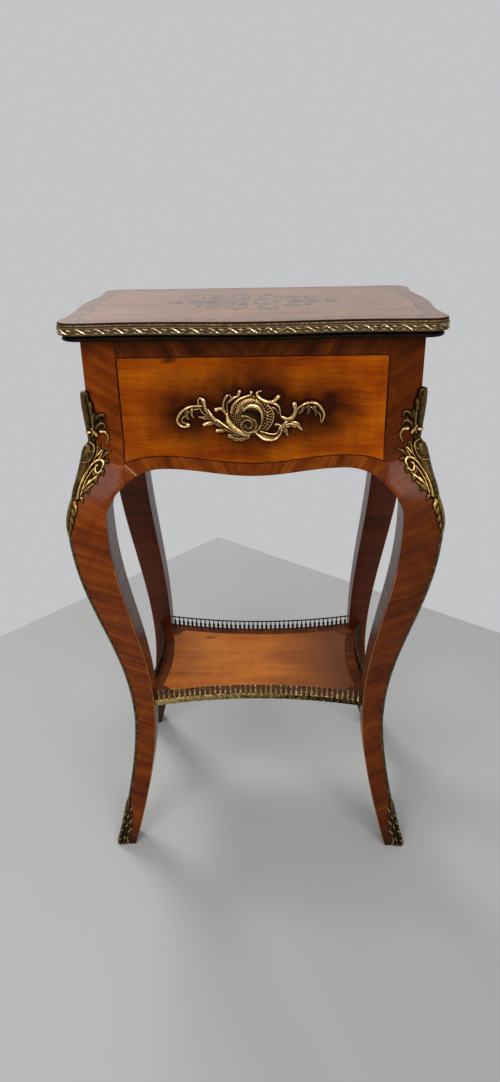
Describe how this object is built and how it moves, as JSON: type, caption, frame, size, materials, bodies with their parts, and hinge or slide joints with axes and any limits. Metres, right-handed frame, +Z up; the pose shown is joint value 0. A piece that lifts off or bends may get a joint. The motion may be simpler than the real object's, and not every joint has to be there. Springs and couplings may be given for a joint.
{
  "type": "jewellery table",
  "caption": "Small serpentine-topped jewellery table on cabriole legs, with a hinged lid over a lined well, brass mounts and a galleried undertier.",
  "frame": {"origin": "on the floor, under the middle of the table", "axes": "+Z up, +X to the right of someone facing the front, the front faces -Y"},
  "size_m": [0.4364, 0.3224, 0.74],
  "materials": {
    "kingwood": "french-polished crossbanded veneer",
    "satinwood": "french-polished figured veneer",
    "carcase": "plain secondary wood, waxed",
    "lined_board": "thin board lined with dark red velvet",
    "ebonised": "black-stained, polished",
    "gilt_brass": "cast, chased and lacquered, darkened in the hollows",
    "steel": "plain drawn pin",
    "silvered_glass": "silvered plate glass"
  },
  "bodies": {
    "table": {"leg_front_left": "kingwood", "leg_front_right": "kingwood", "leg_back_left": "kingwood", "leg_back_right": "kingwood", "panel_front": "satinwood", "panel_right": "satinwood", "panel_back": "satinwood", "panel_left": "satinwood", "case_floor": "carcase", "well_front": "lined_board", "well_back": "lined_board", "well_left": "lined_board", "well_right": "lined_board", "well_base": "lined_board", "well_ledge": "carcase", "undertier_board": "satinwood", "gallery_front": "gilt_brass", "gallery_right": "gilt_brass", "gallery_back": "gilt_brass", "gallery_left": "gilt_brass", "knee_mount_front_left": "gilt_brass", "knee_mount_front_right": "gilt_brass", "knee_mount_back_left": "gilt_brass", "knee_mount_back_right": "gilt_brass", "arris_strip_front_left": "gilt_brass", "arris_strip_front_right": "gilt_brass", "arris_strip_back_left": "gilt_brass", "arris_strip_back_right": "gilt_brass", "sabot_front_left": "gilt_brass", "sabot_front_right": "gilt_brass", "sabot_back_left": "gilt_brass", "sabot_back_right": "gilt_brass", "front_mount": "gilt_brass", "hinge_case_leaf_left": "gilt_brass", "hinge_case_leaf_right": "gilt_brass", "hinge_pin_left": "steel", "hinge_pin_right": "steel"},
    "lid": {"lid_board": "kingwood", "lid_brass_front": "gilt_brass", "lid_brass_right": "gilt_brass", "lid_brass_back": "gilt_brass", "lid_brass_left": "gilt_brass", "lid_bead_front": "ebonised", "lid_bead_right": "ebonised", "lid_bead_back": "ebonised", "lid_bead_left": "ebonised", "mirror_glass": "silvered_glass", "mirror_frame": "ebonised", "hinge_lid_leaf_left": "gilt_brass", "hinge_lid_leaf_right": "gilt_brass"}
  },
  "joints": [
    {"name": "lid_hinge", "type": "hinge", "parent": "table", "child": "lid", "pos_m": [0, 0.1308, 0.71985], "axis": [-1, 0, 0], "range_deg": [0, 95]}
  ]
}
